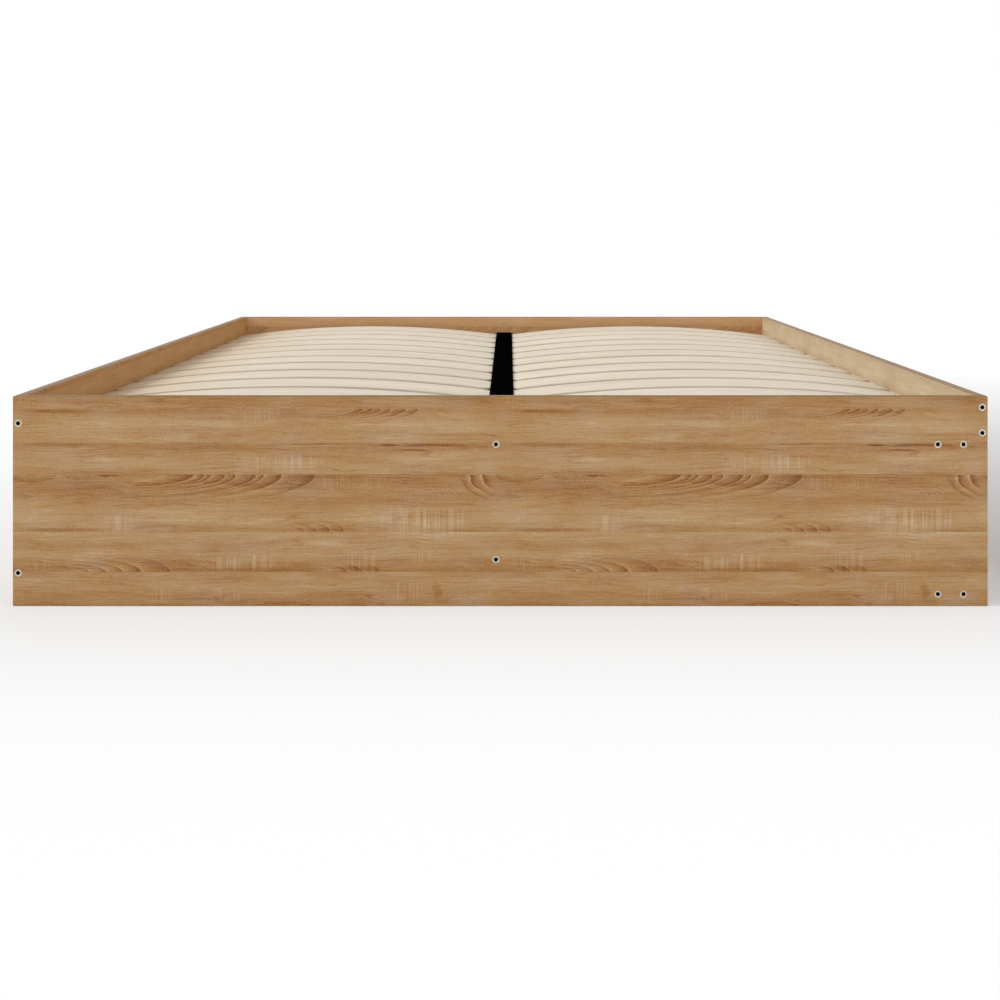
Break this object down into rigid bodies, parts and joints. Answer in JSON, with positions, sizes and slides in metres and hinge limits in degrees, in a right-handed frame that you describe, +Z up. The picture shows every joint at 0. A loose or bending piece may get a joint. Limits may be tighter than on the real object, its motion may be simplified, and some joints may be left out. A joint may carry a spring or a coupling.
{
  "type": "platform storage bed",
  "caption": "Low platform storage bed: laminated box frame, crowned slats beside a steel centre beam, and drawers that slide out of one long side.",
  "frame": {"origin": "on the floor under the centre of the bed", "axes": "+X across the bed towards the drawer side, +Y along the bed from foot to head, +Z up"},
  "size_m": [1.636, 2.036, 0.352],
  "materials": {
    "oak_laminate": "matt oak-grain laminate",
    "slat_wood": "pale laminated birch, lightly sealed",
    "batten_wood": "planed softwood",
    "black_steel": "matt black powder coat",
    "zinc_steel": "zinc-plated steel",
    "peg_plastic": "moulded plastic",
    "drawer_board": "white melamine-faced board",
    "drawer_sheet": "white-faced hardboard",
    "runner_steel": "cream epoxy-coated steel",
    "nylon": "moulded nylon"
  },
  "bodies": {
    "bed_frame": {"foot_panel": "oak_laminate", "head_panel": "oak_laminate", "left_side_panel": "oak_laminate", "right_side_rail": "oak_laminate", "right_top_board": "oak_laminate", "right_bottom_board": "oak_laminate", "centre_partition": "oak_laminate", "drawer_divider": "oak_laminate", "centre_beam": "black_steel", "left_slat_batten": "batten_wood", "right_slat_batten": "batten_wood", "panel_screws": "zinc_steel", "divider_screws": "zinc_steel", "batten_screws": "zinc_steel", "slat_pegs": "peg_plastic", "left_slat_1": "slat_wood", "left_slat_2": "slat_wood", "left_slat_3": "slat_wood", "left_slat_4": "slat_wood", "left_slat_5": "slat_wood", "left_slat_6": "slat_wood", "left_slat_7": "slat_wood", "left_slat_8": "slat_wood", "left_slat_9": "slat_wood", "left_slat_10": "slat_wood", "left_slat_11": "slat_wood", "left_slat_12": "slat_wood", "right_slat_1": "slat_wood", "right_slat_2": "slat_wood", "right_slat_3": "slat_wood", "right_slat_4": "slat_wood", "right_slat_5": "slat_wood", "right_slat_6": "slat_wood", "right_slat_7": "slat_wood", "right_slat_8": "slat_wood", "right_slat_9": "slat_wood", "right_slat_10": "slat_wood", "right_slat_11": "slat_wood", "right_slat_12": "slat_wood", "foot_bed_runners": "runner_steel", "head_bed_runners": "runner_steel"},
    "foot_drawer": {"foot_drawer_front": "oak_laminate", "foot_drawer_left_side": "drawer_board", "foot_drawer_right_side": "drawer_board", "foot_drawer_back": "drawer_board", "foot_drawer_bottom": "drawer_sheet", "foot_drawer_runners": "runner_steel", "foot_drawer_fasteners": "zinc_steel"},
    "foot_front_rollers": {"foot_front_rollers": "nylon"},
    "foot_rear_rollers": {"foot_rear_rollers": "nylon"},
    "head_drawer": {"head_drawer_front": "oak_laminate", "head_drawer_left_side": "drawer_board", "head_drawer_right_side": "drawer_board", "head_drawer_back": "drawer_board", "head_drawer_bottom": "drawer_sheet", "head_drawer_runners": "runner_steel", "head_drawer_fasteners": "zinc_steel"},
    "head_front_rollers": {"head_front_rollers": "nylon"},
    "head_rear_rollers": {"head_rear_rollers": "nylon"}
  },
  "joints": [
    {"name": "foot_drawer_slide", "type": "slide", "parent": "bed_frame", "child": "foot_drawer", "axis": [1, 0, 0], "range_m": [0, 0.58]},
    {"name": "foot_front_roller_spin", "type": "hinge", "parent": "bed_frame", "child": "foot_front_rollers", "pos_m": [0.7847, -0.5045, 0.044], "axis": [0, 1, 0], "continuous": true},
    {"name": "foot_rear_roller_spin", "type": "hinge", "parent": "foot_drawer", "child": "foot_rear_rollers", "pos_m": [0.1247, -0.5045, 0.044], "axis": [0, 1, 0], "continuous": true},
    {"name": "head_drawer_slide", "type": "slide", "parent": "bed_frame", "child": "head_drawer", "axis": [1, 0, 0], "range_m": [0, 0.58]},
    {"name": "head_front_roller_spin", "type": "hinge", "parent": "bed_frame", "child": "head_front_rollers", "pos_m": [0.7847, 0.5045, 0.044], "axis": [0, 1, 0], "continuous": true},
    {"name": "head_rear_roller_spin", "type": "hinge", "parent": "head_drawer", "child": "head_rear_rollers", "pos_m": [0.1247, 0.5045, 0.044], "axis": [0, 1, 0], "continuous": true}
  ],
  "couplings": [
    {"joint": "foot_front_roller_spin", "follows": "foot_drawer_slide", "rad_per_m": 117.65},
    {"joint": "foot_rear_roller_spin", "follows": "foot_drawer_slide", "rad_per_m": 117.65},
    {"joint": "head_front_roller_spin", "follows": "head_drawer_slide", "rad_per_m": 117.65},
    {"joint": "head_rear_roller_spin", "follows": "head_drawer_slide", "rad_per_m": 117.65}
  ]
}
